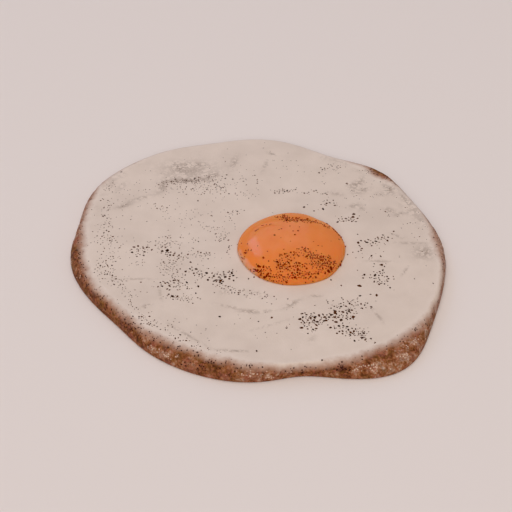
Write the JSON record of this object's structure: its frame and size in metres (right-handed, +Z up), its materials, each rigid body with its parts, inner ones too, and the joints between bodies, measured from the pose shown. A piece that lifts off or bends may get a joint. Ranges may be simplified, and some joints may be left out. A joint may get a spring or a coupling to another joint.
{
  "type": "fried egg",
  "caption": "Fried egg, sunny side up: a flat cooked white with a toasted sloping rim and a whole domed yolk set in it off centre.",
  "frame": {"origin": "middle of the white's footprint, on the surface the egg lies on", "axes": "+Z up through the egg's thickness, -Y to its front, which has the thin corner at its right, and +X to its right, the side the yolk is nearer to"},
  "size_m": [0.1218, 0.1198, 0.0126],
  "materials": {
    "white": "cooked egg white with a soft sheen, toasted brown round its rim and underneath",
    "yolk": "moist orange yolk with a smooth skin"
  },
  "bodies": {
    "root": {"white": "white", "yolk": "yolk"}
  },
  "joints": []
}
